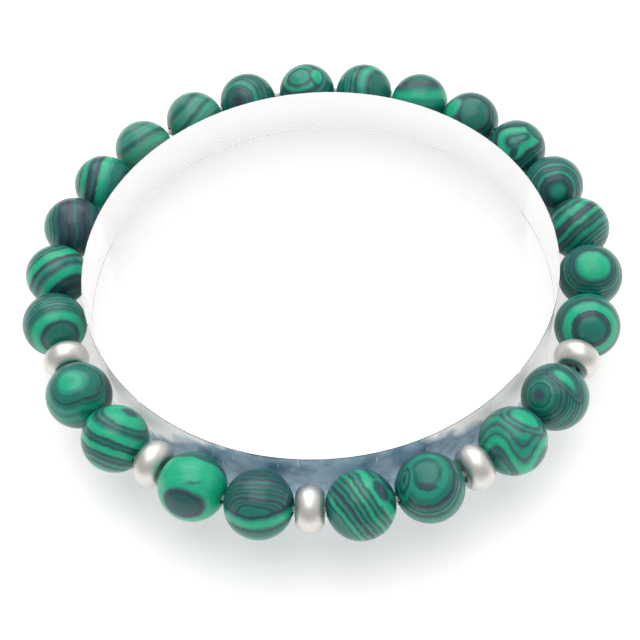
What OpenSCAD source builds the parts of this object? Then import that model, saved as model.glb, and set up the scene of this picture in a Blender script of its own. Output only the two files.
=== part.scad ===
// Stretch bracelet of round banded-stone beads with steel rondelles between some of them,
// held round a clear display disc. Millimetres, +Z up, the front is towards -Y.
// The origin is the centre of the disc's lower face, where it stands on a table.

/* [Stone beads] */
// Diameter of a bead
bead_d = 8; // [7.8:0.1:8.1]
// Diameter of the hole drilled through a bead
bead_bore_d = 1.2; // [1.1:0.05:1.5]
// Depth of the countersink at each mouth of that hole
bore_flare = 0.15; // [0.05:0.05:0.25]
// Least gap between two beads that touch
touch_gap = 0.05; // [0.03:0.01:0.08]

/* [Steel rondelles] */
// Outer diameter at the crown of the rounded side
rondelle_d = 5.6; // [5:0.1:6.4]
// Width between the two flat ends
rondelle_w = 3.2; // [3:0.1:3.5]
// Diameter of a flat end
rondelle_flat_d = 3.7; // [3.2:0.1:4.2]
// Diameter of the hole
rondelle_bore_d = 2; // [1.6:0.1:2.2]

/* [Elastic thread] */
// Diameter of the thread
thread_d = 0.7; // [0.5:0.05:0.75]

/* [Display disc] */
// Diameter of the disc that fills the bracelet
disc_d = 60; // [59.6:0.2:64]
// Thickness of the disc
disc_h = 13.5; // [12:0.5:20]
// Width of the narrow chamfer round both faces
disc_edge = 0.3; // [0.1:0.1:0.6]
// Gap between the disc's wall and the beads held round it
disc_gap = 0.15; // [0.1:0.05:0.3]
// Height of the string's centre line above the disc's lower face
string_h = 9.85; // [5:0.05:11]

/* [Layout] */
// Direction of the first rondelle from the disc's axis, in degrees
first_angle = -95.4; // [-180:0.1:180]

/* [Hidden] */
$fn = 96;

// The string, clockwise as seen from above. Each row is one rondelle and the beads after it:
// the rondelle's play along the thread, how the stretch is shared by the gaps between the beads,
// and where the rondelle rests, as shares of its play outwards, up and anticlockwise.
PLAY = 0;
SHARES = 1;
REST = 2;
runs = [
    [0.26, [0], [-0.19, 0, 0.6]],
    [0.44, [0], [-0.85, -0.17, 0.9]],
    [0.52, [0, 3, 3, 2, 7, 2, 6, 2, 2, 0, 3, 2, 0, 0, 0], [-0.88, 0, 0.95]],
    [0.28, [0], [-0.02, 0.83, 1]],
    [0.26, [0], [-0.19, -0.25, 0.6]]
];

// Sum of a list's first n values
function total(list, n) = n == 0 ? 0 : list[n - 1] + total(list, n - 1);
function whole(list) = total(list, len(list));

// Radius of the circle on which the beads' centres lie
string_r = disc_d / 2 + disc_gap + bead_d / 2;

// Angle between two centres on that circle that are a straight distance apart
function angle_over(distance) = 2 * asin(distance / 2 / string_r);

contact_angle = angle_over(bead_d + touch_gap);
rondelle_spans = [for (run = runs) angle_over(bead_d + rondelle_w + run[PLAY])];
contact_counts = [for (run = runs) len(run[SHARES])];
share_counts = [for (run = runs) whole(run[SHARES])];

// What the beads leave of the full circle when the thread is stretched round the disc
slack = 360 - whole(rondelle_spans) - whole(contact_counts) * contact_angle;
slack_share = slack / whole(share_counts);
assert(slack > 0, "the beads don't fit round this disc");

// Angle from a run's first bead to its bead number n
function along_run(run, n) = n * contact_angle + total(run[SHARES], n) * slack_share;

run_angles = [for (run = runs) along_run(run, len(run[SHARES]))];

rondelle_angles = [
    for (i = [0 : len(runs) - 1])
        first_angle - total(run_angles, i) - total(rondelle_spans, i)
            + (rondelle_spans[0] - rondelle_spans[i]) / 2
];

bead_angles = [
    for (i = [0 : len(runs) - 1], n = [0 : contact_counts[i]])
        rondelle_angles[i] - rondelle_spans[i] / 2 - along_run(runs[i], n)
];

// A bead's hole is straight and the thread curves, so the thread runs midway between
// the hole's place at the bead's middle and at its ends
thread_r = (string_r + norm([string_r, bead_d / 2])) / 2;

// How far a rondelle can lie off the thread before its hole touches it
bore_play = (rondelle_bore_d - thread_d) / 2 - touch_gap;

// Where a bead's hole meets its round surface
bore_end = sqrt(pow(bead_d / 2, 2) - pow(bead_bore_d / 2, 2));

// The rondelle's rounded side is one arc through its crown and the rims of its flat ends
crown_axis_r = (pow(rondelle_d, 2) - pow(rondelle_flat_d, 2) - pow(rondelle_w, 2))
    / (4 * (rondelle_d - rondelle_flat_d));
crown_r = rondelle_d / 2 - crown_axis_r;

function two_digits(n) = str(n < 10 ? "0" : "", n);
bead_names = [for (n = [1 : len(bead_angles)]) str("stone_bead_", two_digits(n))];
rondelle_names = [for (n = [1 : len(rondelle_angles)]) str("steel_rondelle_", n)];

// Puts a piece on the string with its hole along the thread
module on_string(angle) {
    rotate([0, 0, angle])
        translate([string_r, 0, string_h])
            rotate([90, 0, 0])
                children();
}

module stone_bead(angle) {
    color("seagreen")
        on_string(angle)
            difference() {
                sphere(d = bead_d);
                cylinder(d = bead_bore_d, h = bead_d, center = true);
                for (end = [0, 1])
                    mirror([0, 0, end])
                        bore_mouth();
            }
}

// Cone that opens a bead's hole where the thread comes out
module bore_mouth() {
    translate([0, 0, bore_end - bore_flare])
        cylinder(d1 = bead_bore_d, d2 = bead_bore_d + 4 * bore_flare, h = 2 * bore_flare);
}

// A rondelle is loose on the thread, so it rests somewhere within its play
module steel_rondelle(angle, run) {
    rest = run[REST];
    along = rest.z * (run[PLAY] / 2 - touch_gap);
    color("gainsboro")
        on_string(angle + along / string_r * 180 / PI)
            translate([thread_r - string_r + rest.x * bore_play, rest.y * bore_play, 0])
                rotate_extrude()
                    intersection() {
                        translate([crown_axis_r, 0])
                            circle(r = crown_r);
                        translate([rondelle_bore_d / 2, -rondelle_w / 2])
                            square([rondelle_d / 2, rondelle_w]);
                    }
}

module elastic_thread() {
    color("white")
        translate([0, 0, string_h])
            rotate_extrude()
                translate([thread_r, 0])
                    circle(d = thread_d, $fn = 32);
}

module display_disc() {
    disc_r = disc_d / 2;
    color("lightcyan", 0.4)
        rotate_extrude()
            polygon([
                [0, 0],
                [disc_r - disc_edge, 0],
                [disc_r, disc_edge],
                [disc_r, disc_h - disc_edge],
                [disc_r - disc_edge, disc_h],
                [0, disc_h]
            ]);
}

for (i = [0 : len(bead_angles) - 1])
    stone_bead(bead_angles[i]);
for (i = [0 : len(rondelle_angles) - 1])
    steel_rondelle(rondelle_angles[i], runs[i]);
elastic_thread();
display_disc();
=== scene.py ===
# %% [markdown]
# # A stretch bracelet of banded stone beads on a clear display disc
#
# The bracelet has 24 round beads of a green banded stone and 5 small satin steel rondelles, strung on
# a clear elastic thread. It is held round a thick clear acrylic disc that stands on a pale table. The
# CAD model gives each piece its place and size. This lesson makes each piece again as a finely
# rounded mesh and gives it the finish of the real one.

# %% Load the CAD model as a fixed frame
import math

import bmesh
import bpy
from mathutils import Matrix, Vector


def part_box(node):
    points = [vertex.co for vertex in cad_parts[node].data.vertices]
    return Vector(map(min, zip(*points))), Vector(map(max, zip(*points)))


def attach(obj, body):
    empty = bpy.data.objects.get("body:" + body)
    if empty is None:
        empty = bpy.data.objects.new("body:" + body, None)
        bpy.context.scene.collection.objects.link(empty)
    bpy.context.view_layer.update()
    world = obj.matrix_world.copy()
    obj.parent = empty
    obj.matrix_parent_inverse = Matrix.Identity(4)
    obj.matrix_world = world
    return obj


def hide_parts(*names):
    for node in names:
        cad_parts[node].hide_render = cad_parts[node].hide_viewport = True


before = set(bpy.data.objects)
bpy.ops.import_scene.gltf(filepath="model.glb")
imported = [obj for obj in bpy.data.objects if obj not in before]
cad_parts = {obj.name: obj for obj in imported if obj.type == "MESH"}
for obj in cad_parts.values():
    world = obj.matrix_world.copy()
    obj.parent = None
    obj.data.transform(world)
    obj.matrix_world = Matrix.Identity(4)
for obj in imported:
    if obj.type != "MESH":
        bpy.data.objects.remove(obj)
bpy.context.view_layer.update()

MM = 0.001

print("CAD nodes:", len(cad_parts))

# %% [markdown]
# Everything that follows is placed by the CAD nodes' own boxes. The middle of a bead's box is the
# bead's centre, and the disc's box gives its radius and height. The beads' centres lie on a circle
# round the disc's axis, so that circle's radius comes from any one of them.

# %% Read the places and sizes from the frame
def middle_of(node):
    low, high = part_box(node)
    return (Vector(low) + Vector(high)) / 2


bead_nodes = sorted(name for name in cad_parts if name.startswith("stone_bead"))
rondelle_nodes = sorted(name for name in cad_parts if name.startswith("steel_rondelle"))

disc_low, disc_high = (Vector(corner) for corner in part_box("display_disc"))
disc_radius = (disc_high.x - disc_low.x) / 2
disc_height = disc_high.z - disc_low.z

thread_low, thread_high = (Vector(corner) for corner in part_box("elastic_thread"))
thread_radius = (thread_high.z - thread_low.z) / 2
string_height = (thread_high.z + thread_low.z) / 2
thread_circle = (thread_high.x - thread_low.x) / 2 - thread_radius

first_bead = middle_of(bead_nodes[0])
string_circle = math.hypot(first_bead.x, first_bead.y)
ring_centre = Vector((0, 0, string_height))

print(f"disc: {2000 * disc_radius:.1f} mm across, {1000 * disc_height:.1f} mm thick")
print(f"string: a circle of {1000 * string_circle:.2f} mm, {1000 * string_height:.2f} mm above the table")

# %% [markdown]
# ## The camera
#
# The camera comes first, so that every later step can be seen from the photograph's side. It looks
# down at the ring at about fifty degrees. It is a little turned about its own axis, which is why the
# ring looks higher on its right side. A lens of about seventy millimetres on a full-frame sensor
# gives the difference in size between the near beads and the far ones.

# %% Place the camera
CAMERA_DISTANCE = 162.7 * MM
CAMERA_ELEVATION = math.radians(50.23)
CAMERA_PITCH = math.radians(2.107)
CAMERA_YAW = math.radians(-0.175)
CAMERA_ROLL = math.radians(-4.636)
CAMERA_LENS = 71.35
SENSOR_WIDTH = 36
NEAREST_SEEN = 0.005
FARTHEST_SEEN = 10

camera_place = ring_centre + CAMERA_DISTANCE * Vector(
    (0, -math.cos(CAMERA_ELEVATION), math.sin(CAMERA_ELEVATION))
)
looking_down = CAMERA_ELEVATION + CAMERA_PITCH
forward = Vector((
    math.sin(CAMERA_YAW),
    math.cos(CAMERA_YAW) * math.cos(looking_down),
    -math.cos(CAMERA_YAW) * math.sin(looking_down),
))
sideways = forward.cross(Vector((0, 0, 1))).normalized()
upward = sideways.cross(forward)
camera_turn = Matrix((sideways, upward, -forward)).transposed() @ Matrix.Rotation(CAMERA_ROLL, 3, "Z")

camera_data = bpy.data.cameras.new("photo_camera")
camera_data.lens = CAMERA_LENS
camera_data.sensor_width = SENSOR_WIDTH
camera_data.clip_start = NEAREST_SEEN
camera_data.clip_end = FARTHEST_SEEN
camera = bpy.data.objects.new("photo_camera", camera_data)
camera.matrix_world = Matrix.Translation(camera_place) @ camera_turn.to_4x4()
bpy.context.scene.collection.objects.link(camera)
bpy.context.scene.camera = camera
print("camera at", tuple(round(1000 * v, 1) for v in camera_place), "mm")

# %% [markdown]
# ## The table and the light
#
# The bracelet was photographed on a white table in a light tent, so the background burns out to
# white and only a soft shadow stays in front of the near beads. A wide plane stands for the table.
# It lies a hair below the disc, because two faces in the same place would fight each other in the
# render. The table glows a little, as a lit white sheet does.

# %% Lay the table
TABLE_SIZE = 1.6
TABLE_DROP = 0.05 * MM
TABLE_WHITE = (0.86, 0.86, 0.86)
TABLE_ROUGHNESS = 0.9
TABLE_GLOW = 0.39
TABLE_GLOW_COLOUR = (1.0, 0.965, 0.96)


def shader_of(material):
    return material.node_tree.nodes["Principled BSDF"]


def new_material(name, base_colour, roughness):
    material = bpy.data.materials.new(name)
    material.use_nodes = True
    shader = shader_of(material)
    shader.inputs["Base Color"].default_value = (*base_colour, 1)
    shader.inputs["Roughness"].default_value = roughness
    return material


table_white = new_material("table_white", TABLE_WHITE, TABLE_ROUGHNESS)
shader_of(table_white).inputs["Emission Color"].default_value = (*TABLE_GLOW_COLOUR, 1)
shader_of(table_white).inputs["Emission Strength"].default_value = TABLE_GLOW
table_bm = bmesh.new()
bmesh.ops.create_grid(table_bm, x_segments=1, y_segments=1, size=TABLE_SIZE / 2)
bmesh.ops.translate(table_bm, verts=table_bm.verts, vec=(0, 0, -TABLE_DROP))
table_mesh = bpy.data.meshes.new("table")
table_bm.to_mesh(table_mesh)
table_bm.free()
table_mesh.materials.append(table_white)
table = bpy.data.objects.new("table", table_mesh)
bpy.context.scene.collection.objects.link(table)
print("table:", TABLE_SIZE, "m wide")

# %% [markdown]
# The tent is an even white world. One soft box hangs above the ring and gives each bead its small
# pale highlight. A wide one stands behind, and the disc's upper face mirrors it, so that face burns
# out to white. A weak one at the right draws the shadows a little to the left. Each box is set by
# how bright its face is, so a box can be made larger without making its reflection brighter.

# %% Set the light tent and the soft boxes
TENT_WHITE = (1.0, 0.975, 0.965)
TENT_STRENGTH = 0.52

world = bpy.data.worlds.new("light_tent")
world.use_nodes = True
tent = world.node_tree.nodes["Background"]
tent.inputs["Color"].default_value = (*TENT_WHITE, 1)
tent.inputs["Strength"].default_value = TENT_STRENGTH
bpy.context.scene.world = world


def add_soft_box(name, place, aim, width, depth, radiance):
    """Adds a rectangular soft box whose face is as bright as the radiance says, whatever its size."""
    lamp = bpy.data.lights.new(name, "AREA")
    lamp.shape = "RECTANGLE"
    lamp.size = width
    lamp.size_y = depth
    lamp.energy = math.pi * width * depth * radiance
    soft_box = bpy.data.objects.new(name, lamp)
    facing = (Vector(aim) - Vector(place)).to_track_quat("-Z", "Y").to_matrix().to_4x4()
    soft_box.matrix_world = Matrix.Translation(place) @ facing
    bpy.context.scene.collection.objects.link(soft_box)
    print(name, "gives", round(lamp.energy, 2), "W")


add_soft_box(
    "soft_box_above", place=(0.0, 0.05, 0.60), aim=(0, 0.05, 0), width=0.56, depth=0.57, radiance=1.8
)
add_soft_box(
    "soft_box_behind", place=(0.0, 0.643, 0.663), aim=(0, 0, 0.02), width=1.2, depth=0.50, radiance=1.75
)
add_soft_box(
    "soft_box_right", place=(0.75, 0.10, 0.35), aim=(0, 0, 0.02), width=0.9, depth=0.60, radiance=0.4
)

bpy.context.scene.view_settings.view_transform = "Standard"
bpy.context.scene.view_settings.look = "None"

# %% [markdown]
# ## Helpers for turned pieces
#
# Every piece here is round about an axis, as if it were turned on a lathe. The beads, the rondelles
# and the thread each start as a flat profile, and the spin operator sweeps it a full turn. With
# use_merge the last copy is welded to the first, and the wall is closed.

# %% Turn a profile about an axis and place the piece
WELD_DISTANCE = 1e-7


def full_turn(bm, steps):
    """Spins the bmesh's edges a whole turn about the Z axis, welds them and turns the faces outwards."""
    bmesh.ops.spin(
        bm,
        geom=bm.verts[:] + bm.edges[:],
        cent=(0, 0, 0),
        axis=(0, 0, 1),
        angle=math.tau,
        steps=steps,
        use_merge=True,
    )
    bmesh.ops.remove_doubles(bm, verts=bm.verts, dist=WELD_DISTANCE)
    bmesh.ops.recalc_face_normals(bm, faces=bm.faces)


def along_the_string(centre):
    """The turn and place that put a piece made about the Z axis on the string, its hole along the thread."""
    outwards = Vector((centre.x, centre.y, 0)).normalized()
    thread_way = Vector((0, 0, 1)).cross(outwards)
    turn = Matrix((outwards, thread_way.cross(outwards), thread_way)).transposed()
    return Matrix.Translation(centre) @ turn.to_4x4()


def finish_piece(bm, name, material, node):
    """Makes the object, lets it ride with the part and hides the CAD node that it stands for."""
    for face in bm.faces:
        face.smooth = True
    mesh = bpy.data.meshes.new(name)
    bm.to_mesh(mesh)
    bm.free()
    mesh.materials.append(material)
    piece = bpy.data.objects.new(name, mesh)
    bpy.context.scene.collection.objects.link(piece)
    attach(piece, "root")
    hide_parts(node)
    return piece


# %% [markdown]
# ## Helpers for shader nodes
#
# The stone and the disc's wall are painted by nodes, and a tree of nodes is easier to read as a few
# lines of sums. These helpers add one node each, and return the output that the next line needs.

# %% Add shader nodes in one line each
def add_node(tree, kind, inputs=None, **settings):
    """Adds a shader node. Its inputs are given by name or number, as a value or as another node's output."""
    node = tree.nodes.new(f"ShaderNode{kind}")
    for setting, value in settings.items():
        setattr(node, setting, value)
    for key, value in (inputs or {}).items():
        if isinstance(value, bpy.types.NodeSocket):
            tree.links.new(value, node.inputs[key])
        else:
            node.inputs[key].default_value = value
    return node


def add_math(tree, operation, first, second=0.0, third=0.0):
    return add_node(tree, "Math", {0: first, 1: second, 2: third}, operation=operation).outputs[0]


def map_range(tree, value, low, high, start=0.0, end=1.0):
    """Where the value goes from low to high, the result goes from start to end and then stays there."""
    inputs = {"Value": value, "From Min": low, "From Max": high, "To Min": start, "To Max": end}
    return add_node(tree, "MapRange", inputs).outputs["Result"]


def mix_colours(tree, share, first, second):
    mix = add_node(tree, "Mix", {"Factor": share, "A": first, "B": second}, data_type="RGBA")
    return mix.outputs["Result"]


def map_place(tree, place, **settings):
    """The Mapping node's texture type moves the location to the origin, turns it back and divides."""
    inputs = {"Vector": place, **{name.title(): value for name, value in settings.items()}}
    return add_node(tree, "Mapping", inputs, vector_type="TEXTURE").outputs[0]


def add_noise(tree, place, scale=1.0, detail=2.0, roughness=0.5, seed=None):
    """Returns a noise node. A seed is a place on a fourth axis, where the noise is another one."""
    inputs = {"Vector": place, "Scale": scale, "Detail": detail, "Roughness": roughness}
    if seed is None:
        return add_node(tree, "TexNoise", inputs)
    return add_node(tree, "TexNoise", {**inputs, "W": seed}, noise_dimensions="4D")


def push_by_noise(tree, place, noise, amount):
    """Moves a place by a noise's colour, whose middle value of a half moves nothing."""
    inputs = {0: noise.outputs["Color"], 1: (0.5, 0.5, 0.5)}
    centred = add_node(tree, "VectorMath", inputs, operation="SUBTRACT").outputs[0]
    shift = add_node(tree, "VectorMath", {0: centred, "Scale": amount}, operation="SCALE").outputs[0]
    return add_node(tree, "VectorMath", {0: place, 1: shift}, operation="ADD").outputs[0]


# %% [markdown]
# ## The stone
#
# The beads are cut from a stone with green bands, like malachite. Such a stone grows in shells round
# many small seeds. A bead that is cut through the shells shows rings round an eye where a seed lay
# near its surface, and long stripes where the seed lay far away. So each bead's pattern here is one
# or more sets of rings, and each set has a centre and a list of bands from the centre outwards. It
# is a solid pattern that runs through the whole bead, so it has no seam and looks right from behind.

# %% Name the stone's tones
TONES = {
    "bright": (0.008, 0.430, 0.232),
    "jade": (0.010, 0.285, 0.198),
    "sage": (0.070, 0.270, 0.200),
    "mid": (0.008, 0.174, 0.134),
    "deep": (0.012, 0.098, 0.093),
    "ink": (0.016, 0.050, 0.065),
    "plum": (0.040, 0.072, 0.101),
}


def rings(at, bands, turn=0, stretch=1.0, start=0, wave=(0, 1, 0)):
    """One set of rings, in bead radii seen from the camera: x to the right, y up, z towards the camera.

    bands names each band's tone and its width in hundredths of a radius, from the centre outwards.
    The rings are stretched along a line turned from the x axis. With a start, only what lies outside
    that ring is painted. A wave folds the bands by an amount, with a length and a phase in degrees."""
    return dict(at=at, bands=bands, turn=turn, stretch=stretch, start=start, wave=wave)


# %% [markdown]
# The table below was charted from the photograph, the way a pattern is charted for knitting.
# The first set of rings of a bead covers all of it, and a further set lies over a part of it.

# %% Chart the beads
CHARTS = {
    1: [
        rings((-0.1, -0.3), "mid 28 ink 3 mid 5 plum 4 mid 6 ink 3 plum 5 mid 4 deep 5 plum 4 mid 5 ink 4 "
              "mid 6 plum 5 deep 5 mid 4 plum 8 ink 5 mid 6 ink 4 plum 5 deep 40",
              stretch=2.0, wave=(0.05, 1.0, 40)),
        rings((-0.05, 0.85), "ink 9 jade 4 bright 14 mid 4 ink 8 mid 14 jade 60", start=124),
    ],
    2: [
        rings((-0.3, -0.53), "deep 36 ink 5 plum 9 jade 3 bright 84 ink 6 mid 6 ink 5 jade 8 mid 40",
              turn=-10, stretch=1.4),
        rings((0.0, 0.13), "mid 3 jade 3", turn=5, stretch=5.0),
    ],
    3: [
        rings((0.45, 0.76), "plum 18 jade 4 bright 34 jade 5 ink 4 mid 11 ink 4 mid 8 jade 4 bright 17 ink 4 "
              "mid 9 ink 4 bright 15 ink 4 mid 8 ink 4 jade 8 ink 8 jade 12 bright 15",
              turn=-10, stretch=1.3),
    ],
    4: [
        rings((-0.2, 0.45), "jade 10 bright 20 jade 12 mid 24 ink 6 mid 14 jade 14 mid 12 jade 14 mid 20 "
              "deep 30", stretch=1.2, wave=(0.05, 0.9, 0)),
        rings((0.97, 0.1), "ink 34 deep 12", turn=90, stretch=1.4),
        rings((0.55, 0.2), "ink 4 mid 5", turn=35, stretch=4.0),
    ],
    5: [
        rings((0.2, -0.45), "mid 46 plum 6 ink 6 jade 6 bright 18 jade 8 deep 7 mid 6 ink 4 jade 6 ink 5 "
              "jade 5 ink 5 jade 6 deep 30", stretch=1.1),
    ],
    6: [
        rings((0.49, -0.72), "deep 40 ink 22 deep 10 ink 12 jade 5 bright 19 jade 3 plum 9 mid 6 jade 6 "
              "plum 5 ink 6 bright 19 ink 5 jade 6 ink 4 mid 6 jade 20"),
    ],
    7: [
        rings((-1, 0), "mid 42 jade 7 ink 5 jade 7 mid 5 ink 5 jade 8 ink 5 mid 9 deep 7 ink 8 plum 14 ink 6 "
              "plum 12 mid 4 plum 14 ink 6 plum 12 mid 4 plum 50", turn=90, wave=(0.03, 0.9, 0)),
    ],
    8: [
        rings((0.8, -0.3), "ink 40 deep 15 mid 30 jade 13 bright 20 ink 4 plum 8 mid 5 plum 7 ink 7 jade 5 "
              "bright 9 jade 4 ink 5 jade 8 ink 5 mid 20", turn=80, stretch=1.6),
    ],
    9: [
        rings((0.5, -0.7), "sage 60 mid 10 sage 30 bright 8 sage 12 mid 6 deep 5 mid 5 sage 8 jade 6 sage 10 "
              "mid 6 sage 30", turn=30, stretch=1.5),
    ],
    10: [
        rings((0.7, -0.5), "sage 40 mid 10 sage 12 mid 12 sage 18 bright 6 sage 6 mid 6 deep 4 mid 6 sage 6 "
              "jade 10 sage 8 mid 6 deep 5 mid 8 sage 40", turn=45, stretch=1.5),
    ],
    11: [
        rings((-0.35, 0.0), "ink 14 plum 10 deep 6 mid 5 plum 10 mid 6 ink 4 jade 14 mid 8 ink 4 jade 6 "
              "ink 4 mid 7 ink 3 jade 7 ink 4 mid 6 ink 4 jade 6 ink 6 mid 8 ink 30",
              turn=100, stretch=1.15),
    ],
    12: [
        rings((-0.3, 0.55), "jade 30 plum 7 mid 5 bright 10 jade 5 plum 6 deep 8 jade 8 deep 8 mid 14 ink 6 "
              "jade 8 ink 8 deep 40", stretch=1.3),
        rings((0.36, 0.6), "bright 20 jade 5 ink 4", turn=80, stretch=2.0),
    ],
    13: [
        rings((0.6, 0.15), "mid 46 deep 5 plum 6 jade 10 bright 8 jade 8 mid 6 ink 5 mid 6 jade 6 ink 4 "
              "jade 8 mid 6 jade 8 ink 5 jade 8 mid 8 jade 40", turn=90, stretch=1.3),
    ],
    14: [
        rings((0, -1), "mid 100 deep 8 mid 24 jade 18 bright 14 jade 6 mid 5 plum 8 deep 5 mid 20"),
    ],
    15: [
        rings((0.15, 0.3), "mid 50 plum 9 ink 3 mid 10 ink 8 mid 10 ink 6 jade 6 ink 8 mid 30",
              turn=90, stretch=1.2),
        rings((-0.62, 0.48), "bright 27 jade 4 plum 8", turn=70, stretch=1.4),
    ],
    16: [
        rings((0.3, 0.42), "mid 10 deep 4 jade 6 ink 4 mid 4 jade 4 bright 18 jade 4 ink 12 mid 6 ink 6 "
              "jade 6 ink 10 deep 30", turn=25, stretch=1.8, wave=(0.14, 0.8, 70)),
        rings((0.64, 0.64), "mid 26 deep 4 ink 5", turn=-40, stretch=1.2),
        rings((-0.08, -0.15), "deep 5 ink 4 mid 4", turn=72, stretch=2.6),
    ],
    17: [
        rings((0.15, -0.2), "jade 22 mid 6 deep 10 ink 4 deep 6 plum 6 ink 5 jade 12 ink 5 mid 7 ink 5 "
              "mid 5 jade 5 ink 4 mid 6 ink 4 jade 5 ink 4 mid 5 ink 4 jade 6 deep 40"),
    ],
    18: [
        rings((0.67, -0.74, 0.06), "deep 60 ink 8 jade 8 ink 6 jade 8 plum 6 jade 6 ink 8 jade 12 ink 6 "
              "mid 6 ink 7 bright 10 ink 5 plum 6 ink 5 jade 3 bright 10 ink 4 jade 6 ink 5 deep 10"),
    ],
    19: [
        rings((0.1, 0.35), "bright 44 jade 5 mid 6 ink 5 mid 7 ink 4 mid 8 deep 5 jade 6 ink 4 mid 8 ink 5 "
              "mid 8 deep 10 jade 5 deep 40", stretch=1.15),
    ],
    20: [
        rings((0.15, -0.1), "mid 38 deep 4 ink 6 plum 6 ink 4 bright 26 jade 8 ink 6 mid 6 ink 5 jade 7 "
              "ink 5 mid 6 jade 40", stretch=1.05),
    ],
    21: [
        rings((-0.47, 0.03), "plum 17 mid 17 ink 4 jade 4 mid 8 deep 6 mid 5 ink 7 mid 8 ink 8 mid 5 ink 4 "
              "jade 5 ink 4 jade 5 ink 6 mid 6 ink 5 jade 6 ink 5 mid 30"),
        rings((0.2, 0.6), "bright 11 jade 4 mid 3 plum 5 mid 4 ink 4", turn=-50, stretch=4.0),
    ],
    22: [
        rings((0, 1), "mid 60 plum 5 mid 20 jade 10 plum 5 jade 16 mid 10 plum 5 jade 16 plum 6 jade 5 "
              "bright 15 jade 3 plum 6 mid 10 plum 5 jade 10 mid 30", wave=(0.25, 1.5, 198)),
        rings((0.38, 0.68), "bright 25 jade 4 plum 7 jade 10 plum 5", turn=-25, stretch=1.6),
    ],
    23: [
        rings((-0.1, 0.45), "mid 34 deep 5 mid 8 jade 16 mid 14 ink 6 plum 6 mid 5 ink 5 jade 6 ink 5 mid 10 "
              "jade 6 mid 40", turn=90, stretch=1.2),
        rings((-0.15, 0.03), "plum 9 deep 3", turn=-5, stretch=3.2),
        rings((-0.72, 0.2), "ink 5 jade 10 ink 4 jade 8", turn=85, stretch=2.2),
    ],
    24: [
        rings((-0.79, -0.61, -0.03), "mid 55 deep 5 mid 18 jade 4 ink 6 jade 4 bright 8 ink 7 jade 7 plum 5 "
              "ink 4 jade 6 ink 6 jade 6 ink 5 bright 9 ink 3 jade 8 ink 3 bright 14 ink 4 jade 6 ink 4 "
              "jade 10"),
        rings((0.58, 0.4), "plum 7 ink 3 deep 5 ink 4 jade 5", turn=-60, stretch=1.8),
    ],
}
print("sets of rings:", sum(len(layers) for layers in CHARTS.values()))

# %% [markdown]
# A ring's number is its distance from the centre of the set. The Mapping node moves that centre to
# the origin, turns the stretched way onto the x axis and divides by the stretch. The length of what
# comes out is the distance, and a colour ramp turns it into bands. A narrow band has one stop in its
# middle, so it melts softly into the next one, and a wide band has two.

# %% Paint one set of rings
NARROW_BAND = 0.10
BAND_EDGE = 0.03
LAYER_EDGE = 0.02


def read_bands(text):
    words = text.split()
    return [(tone, int(width) / 100) for tone, width in zip(words[::2], words[1::2])]


def band_stops(bands):
    """(distance, tone) for each stop of the colour ramp."""
    stops = []
    inner = 0.0
    for tone, width in bands:
        if width > NARROW_BAND:
            stops += [(inner + BAND_EDGE, tone), (inner + width - BAND_EDGE, tone)]
        else:
            stops.append((inner + width / 2, tone))
        inner += width
    return stops


def band_ramp(tree, share, stops, reach):
    """A colour ramp always has two stops, so the others go in between them."""
    ramp = add_node(tree, "ValToRGB", {"Fac": share})
    elements = ramp.color_ramp.elements
    for element, (position, tone) in ((elements[0], stops[0]), (elements[1], stops[-1])):
        element.position = position / reach
        element.color = (*TONES[tone], 1)
    for position, tone in stops[1:-1]:
        elements.new(position / reach).color = (*TONES[tone], 1)
    return ramp.outputs["Color"]


def ring_centre_on_bead(at):
    """The centre lies on the bead's near face, unless its third number says where it lies."""
    if len(at) == 3:
        return at
    return (*at, math.sqrt(max(0.0, 1 - at[0] ** 2 - at[1] ** 2)))


def paint_rings(tree, place, layer):
    """Returns the colour of one set of rings, its distance, and how much of the set shows."""
    bands = read_bands(layer["bands"])
    reach = sum(width for tone, width in bands)
    start = layer["start"] / 100
    local = map_place(
        tree,
        place,
        location=ring_centre_on_bead(layer["at"]),
        rotation=(0, 0, math.radians(layer["turn"])),
        scale=(layer["stretch"], 1, 1),
    )
    distance = add_node(tree, "VectorMath", {0: local}, operation="LENGTH").outputs["Value"]
    height, length, phase = layer["wave"]
    if height:
        along = add_node(tree, "SeparateXYZ", {0: local}).outputs["X"]
        swing = add_math(tree, "MULTIPLY_ADD", along, math.tau / length, math.radians(phase))
        distance = add_math(tree, "MULTIPLY_ADD", add_math(tree, "SINE", swing), height, distance)
    share = map_range(tree, distance, start, start + reach)
    colour = band_ramp(tree, share, band_stops(bands), reach)
    if start:
        shown = map_range(tree, distance, start - LAYER_EDGE, start + LAYER_EDGE)
    else:
        shown = map_range(tree, distance, reach - LAYER_EDGE, reach + LAYER_EDGE, 1.0, 0.0)
    return colour, distance, shown


# %% [markdown]
# A bead's own chart is laid out on the face that the photograph shows, so the Mapping node that
# centres it also turns it to face the camera's place. It is a fixed turn, worked out once for each
# bead, and the pattern stays in the stone when the view moves.
#
# No shell of a real stone is even, so one slow noise bends the rings, and a finer one makes the dark
# lines ragged. A third noise runs quickly across the rings and slowly along them. It gives the
# hairlines inside a band, which fade in and out along their length.

# %% Build a bead's stone
BEAD_RADIUS = 4.0 * MM
RING_WOBBLE = 0.16
WOBBLE_SCALE = 1.3
GRAIN_WOBBLE = 0.075
GRAIN_SCALE = 6.0
HAIRLINES = 16.0
HAIRLINE_BREAKS = 2.0
HAIRLINE_DEPTH = 0.12
HAIRLINE_NOISE_RANGE = (0.3, 0.7)
WOBBLE_NOISE_ROUGHNESS = 0.45
GRAIN_NOISE_ROUGHNESS = 0.6
HAIRLINE_NOISE_ROUGHNESS = 0.6
SEED_STEP = 1.7
STONE_ROUGHNESS = 0.28
STONE_GLOSS = 0.45


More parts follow.
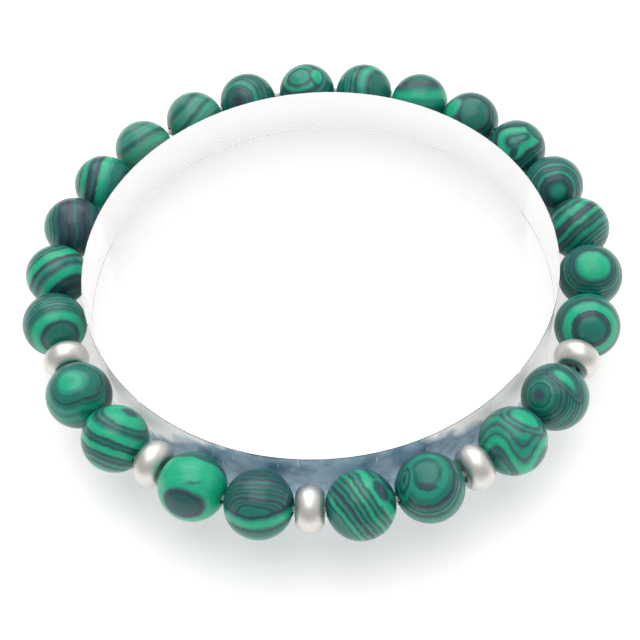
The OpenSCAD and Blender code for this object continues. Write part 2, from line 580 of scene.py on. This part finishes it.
def face_the_photo(centre):
    """The turn whose z axis points from the bead to the camera and whose y axis is up in the photograph."""
    toward = (camera_place - centre).normalized()
    photo_right = camera_turn.col[0]
    right = (photo_right - photo_right.dot(toward) * toward).normalized()
    return Matrix((right, toward.cross(right), toward)).transposed()


def draw_hairlines(tree, place, distance, colour):
    broken = add_node(tree, "VectorMath", {0: place, "Scale": HAIRLINE_BREAKS}, operation="SCALE").outputs[0]
    across = add_math(tree, "MULTIPLY", distance, HAIRLINES)
    hairlines = add_noise(tree, broken, roughness=HAIRLINE_NOISE_ROUGHNESS, seed=across).outputs["Fac"]
    value = map_range(tree, hairlines, *HAIRLINE_NOISE_RANGE, 1 - HAIRLINE_DEPTH, 1 + HAIRLINE_DEPTH)
    return add_node(tree, "HueSaturation", {"Value": value, "Color": colour}).outputs["Color"]


def banded_stone(number, centre):
    material = new_material(f"banded_stone_{number:02d}", TONES["mid"], STONE_ROUGHNESS)
    tree = material.node_tree
    place = map_place(
        tree,
        add_node(tree, "TexCoord").outputs["Object"],
        location=centre,
        rotation=face_the_photo(centre).to_euler(),
        scale=(BEAD_RADIUS, BEAD_RADIUS, BEAD_RADIUS),
    )
    slow_noise = add_noise(
        tree, place, WOBBLE_SCALE, roughness=WOBBLE_NOISE_ROUGHNESS, seed=SEED_STEP * number
    )
    fine_noise = add_noise(tree, place, GRAIN_SCALE, roughness=GRAIN_NOISE_ROUGHNESS)
    bent = push_by_noise(tree, place, slow_noise, RING_WOBBLE)
    bent = push_by_noise(tree, bent, fine_noise, GRAIN_WOBBLE)

    first_layer, *further_layers = CHARTS[number]
    colour, distance, _ = paint_rings(tree, bent, first_layer)
    for layer in further_layers:
        over, _, shown = paint_rings(tree, bent, layer)
        colour = mix_colours(tree, shown, colour, over)

    shader = shader_of(material)
    tree.links.new(draw_hairlines(tree, place, distance, colour), shader.inputs["Base Color"])
    shader.inputs["Specular IOR Level"].default_value = STONE_GLOSS
    return material


print("the slow noise moves a ring by up to", round(RING_WOBBLE / 2 * BEAD_RADIUS / MM, 2), "mm each way")

# %% [markdown]
# A bead's profile is a half circle with a straight line for its hole. Spinning one point draws the
# half circle. The bevel rounds the two points where the hole meets it, so each mouth of the hole has
# a soft edge, as a drilled and tumbled bead has.

# %% Turn the beads
BEAD_BORE = 0.6 * MM
BEAD_MOUTH = 0.15 * MM
BEAD_ARC_STEPS = 44
BEAD_TURN_STEPS = 72
ROUNDING_STEPS = 3
ROUND_PROFILE = 0.5


def spin_arc(bm, point, centre, angle, steps):
    """Draws an arc about the Y axis from a point, and returns its last point."""
    arc = bmesh.ops.spin(
        bm, geom=[point], cent=centre, axis=(0, 1, 0), angle=angle, steps=steps, use_merge=False
    )
    return arc["geom_last"][0]


def round_points(bm, points, width):
    bmesh.ops.bevel(
        bm,
        geom=points,
        affect="VERTICES",
        offset=width,
        segments=ROUNDING_STEPS,
        profile=ROUND_PROFILE,
        material=-1,
    )


def turn_bead(centre):
    bm = bmesh.new()
    bore_end = math.sqrt(BEAD_RADIUS**2 - BEAD_BORE**2)
    top = bm.verts.new((BEAD_BORE, 0, bore_end))
    foot = spin_arc(bm, top, (0, 0, 0), 2 * math.atan2(bore_end, BEAD_BORE), BEAD_ARC_STEPS)
    bm.edges.new((top, foot))
    round_points(bm, [top, foot], BEAD_MOUTH)
    full_turn(bm, BEAD_TURN_STEPS)
    bmesh.ops.transform(bm, matrix=along_the_string(centre), verts=bm.verts)
    return bm


for number, node in enumerate(bead_nodes, start=1):
    centre = middle_of(node)
    stone = banded_stone(number, centre)
    finish_piece(turn_bead(centre), f"bead_{number:02d}", stone, node)
print("beads:", len(bead_nodes))

# %% [markdown]
# ## The rondelles
#
# A rondelle's rounded side is one arc through its crown and the rims of its two flat ends. The arc's
# centre lies near the hole's wall, and its place follows from the radii of crown and rims and half the
# width. The steel is satin, not polished: it was tumbled with grit, so its roughness changes a little
# from spot to spot, and a highlight spreads into a soft glow.

# %% Make the satin steel
STEEL = (0.70, 0.69, 0.66)
STEEL_ROUGHNESS = 0.44
STEEL_ROUGHNESS_SPREAD = 0.05
STEEL_GRAIN = 0.4 * MM
STEEL_NOISE_RANGE = (0.35, 0.65)

satin_steel = new_material("satin_steel", STEEL, STEEL_ROUGHNESS)
shader_of(satin_steel).inputs["Metallic"].default_value = 1.0


def grain_the_steel(tree):
    place = add_node(tree, "TexCoord").outputs["Object"]
    grain = add_noise(tree, place, 1 / STEEL_GRAIN).outputs["Fac"]
    smoothest = STEEL_ROUGHNESS - STEEL_ROUGHNESS_SPREAD
    roughest = STEEL_ROUGHNESS + STEEL_ROUGHNESS_SPREAD
    roughness = map_range(tree, grain, *STEEL_NOISE_RANGE, smoothest, roughest)
    tree.links.new(roughness, shader_of(satin_steel).inputs["Roughness"])


grain_the_steel(satin_steel.node_tree)
print("steel roughness:", STEEL_ROUGHNESS, "with a spread of", STEEL_ROUGHNESS_SPREAD)

# %% Turn the rondelles
RONDELLE_RADIUS = 2.8 * MM
RONDELLE_FLAT = 1.85 * MM
RONDELLE_HALF = 1.6 * MM
RONDELLE_BORE = 1.0 * MM
RONDELLE_EDGE = 0.07 * MM
RONDELLE_ARC_STEPS = 20
RONDELLE_TURN_STEPS = 72


def turn_rondelle(centre):
    bm = bmesh.new()
    squares = RONDELLE_RADIUS**2 - RONDELLE_FLAT**2 - RONDELLE_HALF**2
    arc_centre = squares / (2 * (RONDELLE_RADIUS - RONDELLE_FLAT))
    half_arc = math.asin(RONDELLE_HALF / (RONDELLE_RADIUS - arc_centre))
    rim = bm.verts.new((RONDELLE_FLAT, 0, RONDELLE_HALF))
    other_rim = spin_arc(bm, rim, (arc_centre, 0, 0), 2 * half_arc, RONDELLE_ARC_STEPS)
    bore_top = bm.verts.new((RONDELLE_BORE, 0, RONDELLE_HALF))
    bore_foot = bm.verts.new((RONDELLE_BORE, 0, -RONDELLE_HALF))
    bm.edges.new((rim, bore_top))
    bm.edges.new((bore_top, bore_foot))
    bm.edges.new((bore_foot, other_rim))
    round_points(bm, [rim, other_rim, bore_top, bore_foot], RONDELLE_EDGE)
    full_turn(bm, RONDELLE_TURN_STEPS)
    bmesh.ops.transform(bm, matrix=along_the_string(centre), verts=bm.verts)
    return bm


for number, node in enumerate(rondelle_nodes, start=1):
    finish_piece(turn_rondelle(middle_of(node)), f"rondelle_{number}", satin_steel, node)
print("rondelles:", len(rondelle_nodes))

# %% [markdown]
# ## The thread
#
# The clear elastic thread is a small circle that is swept once round the string. The beads hide most
# of it, and it crosses the wider gaps between the beads behind.

# %% Run the thread
THREAD_SIDES = 16
THREAD_TURN_STEPS = 240
THREAD_TINT = (0.86, 0.88, 0.86)
THREAD_ROUGHNESS = 0.3
THREAD_CLEARNESS = 0.4

clear_elastic = new_material("clear_elastic", THREAD_TINT, THREAD_ROUGHNESS)
shader_of(clear_elastic).inputs["Transmission Weight"].default_value = THREAD_CLEARNESS

thread_bm = bmesh.new()
bmesh.ops.create_circle(thread_bm, segments=THREAD_SIDES, radius=thread_radius)
bmesh.ops.rotate(thread_bm, verts=thread_bm.verts, matrix=Matrix.Rotation(math.pi / 2, 3, "X"))
bmesh.ops.translate(thread_bm, verts=thread_bm.verts, vec=(thread_circle, 0, 0))
full_turn(thread_bm, THREAD_TURN_STEPS)
bmesh.ops.translate(thread_bm, verts=thread_bm.verts, vec=ring_centre)
finish_piece(thread_bm, "elastic_thread_clear", clear_elastic, "elastic_thread")
print(f"thread: {2000 * thread_radius:.2f} mm thick")

# %% [markdown]
# ## The display disc
#
# The disc is clear acrylic, which bends light by its index of 1.49. Its two faces are polished. Its
# wall was cut from a thick sheet and is hazy in front and white at both sides. In front, an arch of
# blue-grey painted shade stands for the shaded table that is seen through the wall. The haze is a
# share of plain colour mixed into the clear acrylic, and a soft noise makes the painted shade
# blotchy. The hazy part also scatters light a little way inside, which spreads its shadows. Behind,
# the wall stays clear and mirrors the white table inside the disc.
#
# The arch of painted shade is a parabola: it is highest a little left of the front and falls off
# with the square of the way to either side. The same noise frays its edge. Another noise, drawn out
# upright and cut off near its peaks, leaves a few fine pale scratches.

# %% Make the clear acrylic, and the hazy acrylic with its painted shade
ACRYLIC_IOR = 1.49
CLEAR_WHITE = (0.995, 0.998, 1.0)
# Where the painted shade lies: an arch on the front wall, with its turn, height, fall, fray and edge.
SHADE_ARCH_TURN = math.radians(-2)
SHADE_ARCH_TOP = 15.4 * MM
SHADE_ARCH_FALL = 20.0
SHADE_ARCH_FRAY = 1.6 * MM
SHADE_ARCH_EDGE = 0.9 * MM
# A blotchy noise varies the painted shade and frays the arch's edge.
SHADE_BLOTCH = (2.6 * MM, 2.6 * MM, 2.6 * MM)
SHADE_BLOTCH_RANGE = (0.34, 0.66)
SHADE_BLOTCH_ROUGHNESS = 0.55
# The two blue-greys are painted shade, the shaded table seen through the front wall.
PAINTED_SHADE_DARK = (0.120, 0.235, 0.335, 1)
PAINTED_SHADE_PALE = (0.330, 0.490, 0.620, 1)
HAZE_SIDES = (1.0, 1.0, 1.0, 1)
SCRATCH = (0.25 * MM, 0.25 * MM, 2.6 * MM)
SCRATCH_WHITE = (0.80, 0.86, 0.92, 1)
SCRATCH_RARITY = 0.67
SCRATCH_FADE = 0.06
HAZE_FRONT = -12.0 * MM
HAZE_BACK = -2.0 * MM
SIDE_CLEARNESS = 0.0
ARCH_CLEARNESS = 0.35
HAZE_ROUGHNESS = 0.25
HAZE_DEPTH = 20.0 * MM

clear_acrylic = new_material("clear_acrylic", CLEAR_WHITE, 0.0)
# This acrylic is white haze at the sides, with painted shade in the front arch.
hazy_acrylic_painted_shade = new_material("hazy_acrylic_painted_shade", CLEAR_WHITE, HAZE_ROUGHNESS)
for acrylic in (clear_acrylic, hazy_acrylic_painted_shade):
    shader_of(acrylic).inputs["Transmission Weight"].default_value = 1.0
    shader_of(acrylic).inputs["IOR"].default_value = ACRYLIC_IOR
shader_of(hazy_acrylic_painted_shade).inputs["Subsurface Weight"].default_value = 1.0
shader_of(hazy_acrylic_painted_shade).inputs["Subsurface Radius"].default_value = (1, 1, 1)
shader_of(hazy_acrylic_painted_shade).inputs["Subsurface Scale"].default_value = HAZE_DEPTH


def haze_wall_and_paint_shade(tree, shader):
    coordinates = add_node(tree, "TexCoord").outputs["Object"]
    turned = map_place(tree, coordinates, rotation=(0, 0, SHADE_ARCH_TURN))
    place = add_node(tree, "SeparateXYZ", {0: turned}).outputs
    blotch_place = map_place(tree, coordinates, scale=SHADE_BLOTCH)
    blotch = add_noise(tree, blotch_place, roughness=SHADE_BLOTCH_ROUGHNESS).outputs["Fac"]
    blotch_share = map_range(tree, blotch, *SHADE_BLOTCH_RANGE)
    # Painted shade: a blotchy blue-grey.
    painted_shade_blue = mix_colours(tree, blotch_share, PAINTED_SHADE_DARK, PAINTED_SHADE_PALE)

    across_squared = add_math(tree, "MULTIPLY", place["X"], place["X"])
    arch = add_math(tree, "MULTIPLY_ADD", across_squared, -SHADE_ARCH_FALL, SHADE_ARCH_TOP)
    frayed = add_math(tree, "MULTIPLY_ADD", blotch_share, SHADE_ARCH_FRAY, arch)
    below = add_math(tree, "SUBTRACT", frayed, place["Z"])
    in_arch = map_range(tree, below, -SHADE_ARCH_EDGE, SHADE_ARCH_EDGE)
    # Inside the arch the wall gets painted shade, outside it white haze.
    haze_and_painted_shade = mix_colours(tree, in_arch, HAZE_SIDES, painted_shade_blue)
    scratch = add_noise(tree, map_place(tree, coordinates, scale=SCRATCH)).outputs["Fac"]
    scratched = map_range(tree, scratch, SCRATCH_RARITY, SCRATCH_RARITY + SCRATCH_FADE)
    haze_and_painted_shade = mix_colours(tree, scratched, haze_and_painted_shade, SCRATCH_WHITE)
    clearness = map_range(tree, in_arch, 0.0, 1.0, SIDE_CLEARNESS, ARCH_CLEARNESS)

    behind = map_range(tree, place["Y"], HAZE_FRONT, HAZE_BACK)
    colour = mix_colours(tree, behind, haze_and_painted_shade, (*CLEAR_WHITE, 1))
    tree.links.new(colour, shader.inputs["Base Color"])
    clear_share = map_range(tree, behind, 0.0, 1.0, clearness, 1.0)
    tree.links.new(clear_share, shader.inputs["Transmission Weight"])
    tree.links.new(map_range(tree, behind, 0.0, 1.0, HAZE_ROUGHNESS, 0.0), shader.inputs["Roughness"])


haze_wall_and_paint_shade(hazy_acrylic_painted_shade.node_tree, shader_of(hazy_acrylic_painted_shade))
print("the haze ends", round(-HAZE_BACK / MM, 1), "mm in front of the disc's middle")

# %% [markdown]
# The disc itself is a cylinder with both rims rounded a little. Its faces are flat and its wall is
# smooth all the way round, so the shading must not run from one into the other: every edge where two
# faces meet at more than twelve degrees is marked sharp.

# %% Turn the display disc
DISC_SIDES = 360
DISC_TOP_EDGE = 0.12 * MM
DISC_FOOT_EDGE = 0.05 * MM
RIM_STEPS = 2
RIM_CREASE = math.radians(12)
SAME_HEIGHT = 1e-6
UPRIGHT_WALL = 0.01


def rim_edges(bm, height):
    return [edge for edge in bm.edges if all(abs(vert.co.z - height) < SAME_HEIGHT for vert in edge.verts)]


disc_bm = bmesh.new()
bmesh.ops.create_cone(
    disc_bm, cap_ends=True, segments=DISC_SIDES, radius1=disc_radius, radius2=disc_radius, depth=disc_height
)
bmesh.ops.translate(disc_bm, verts=disc_bm.verts, vec=(0, 0, disc_height / 2))
for height, width in ((disc_height, DISC_TOP_EDGE), (0, DISC_FOOT_EDGE)):
    rim = rim_edges(disc_bm, height)
    bmesh.ops.bevel(
        disc_bm,
        geom=rim,
        affect="EDGES",
        offset=width,
        segments=RIM_STEPS,
        profile=ROUND_PROFILE,
        material=-1,
    )
bmesh.ops.recalc_face_normals(disc_bm, faces=disc_bm.faces)
for face in disc_bm.faces:
    face.material_index = 1 if abs(face.normal.z) < UPRIGHT_WALL else 0
for edge in disc_bm.edges:
    edge.smooth = edge.calc_face_angle(0) < RIM_CREASE
disc = finish_piece(disc_bm, "display_disc_clear", clear_acrylic, "display_disc")
disc.data.materials.append(hazy_acrylic_painted_shade)
print("disc faces:", len(disc.data.polygons))
